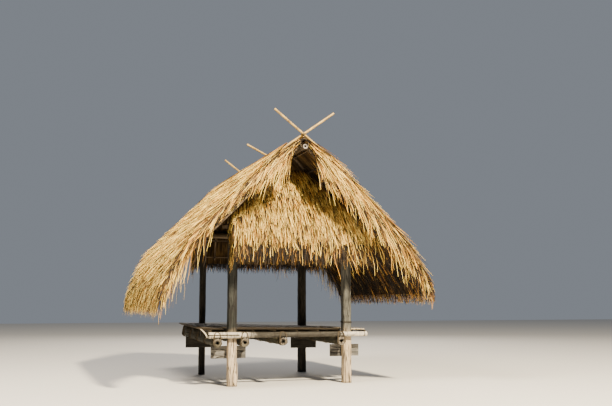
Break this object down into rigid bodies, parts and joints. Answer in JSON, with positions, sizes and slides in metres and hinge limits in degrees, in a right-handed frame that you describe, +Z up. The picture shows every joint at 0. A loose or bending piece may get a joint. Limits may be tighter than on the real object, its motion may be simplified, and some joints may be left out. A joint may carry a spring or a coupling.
{
  "type": "open thatched field hut",
  "caption": "Open field hut with square timber posts, a raised bamboo deck and a steep straw-thatched roof with gable aprons and crossed ridge poles.",
  "frame": {"origin": "on the ground under the middle of the roof's ridge", "axes": "+Z up, +Y from the front gable to the rear gable along the ridge, +X to the right seen from the front"},
  "size_m": [4.15, 3.88, 4.008],
  "materials": {
    "post_timber": "weathered grey, rough",
    "plank_timber": "weathered grey, rough",
    "deck_bamboo": "weathered bamboo",
    "floor_bamboo": "dark worn bamboo",
    "roof_pole": "smoky dry poles",
    "pale_bamboo": "pale dry bamboo",
    "straw": "loose dry straw",
    "binding": "twisted bark strip"
  },
  "bodies": {
    "root": {"apron_battens_front": "roof_pole", "apron_battens_rear": "roof_pole", "apron_front": "straw", "apron_rear": "straw", "apron_studs_front": "roof_pole", "apron_studs_rear": "roof_pole", "battens_left": "roof_pole", "battens_right": "roof_pole", "bearer_inner_left": "deck_bamboo", "bearer_middle": "deck_bamboo", "bearer_outer_left": "deck_bamboo", "bearer_right": "deck_bamboo", "cleat_front_left": "plank_timber", "cleat_front_right": "plank_timber", "cleat_rear_left": "plank_timber", "cleat_rear_right": "plank_timber", "crossed_pole_front_left": "pale_bamboo", "crossed_pole_front_right": "pale_bamboo", "crossed_pole_middle_left": "pale_bamboo", "crossed_pole_middle_right": "pale_bamboo", "crossed_pole_rear_left": "pale_bamboo", "crossed_pole_rear_right": "pale_bamboo", "deck_joists": "deck_bamboo", "floor_poles": "floor_bamboo", "floor_slats": "floor_bamboo", "front_edge_pole": "deck_bamboo", "gable_pole_front": "roof_pole", "gable_pole_rear": "roof_pole", "king_post_front": "roof_pole", "king_post_rear": "roof_pole", "post_front_left": "post_timber", "post_front_right": "post_timber", "post_rear_left": "post_timber", "post_rear_right": "post_timber", "rafters_left": "roof_pole", "rafters_right": "roof_pole", "rear_edge_pole": "deck_bamboo", "ridge_pole": "roof_pole", "thatch_left": "straw", "thatch_ridge": "straw", "thatch_right": "straw", "tie_beam_front": "roof_pole", "tie_beam_rear": "roof_pole", "wall_plate_left": "roof_pole", "wall_plate_right": "roof_pole"}
  },
  "joints": []
}
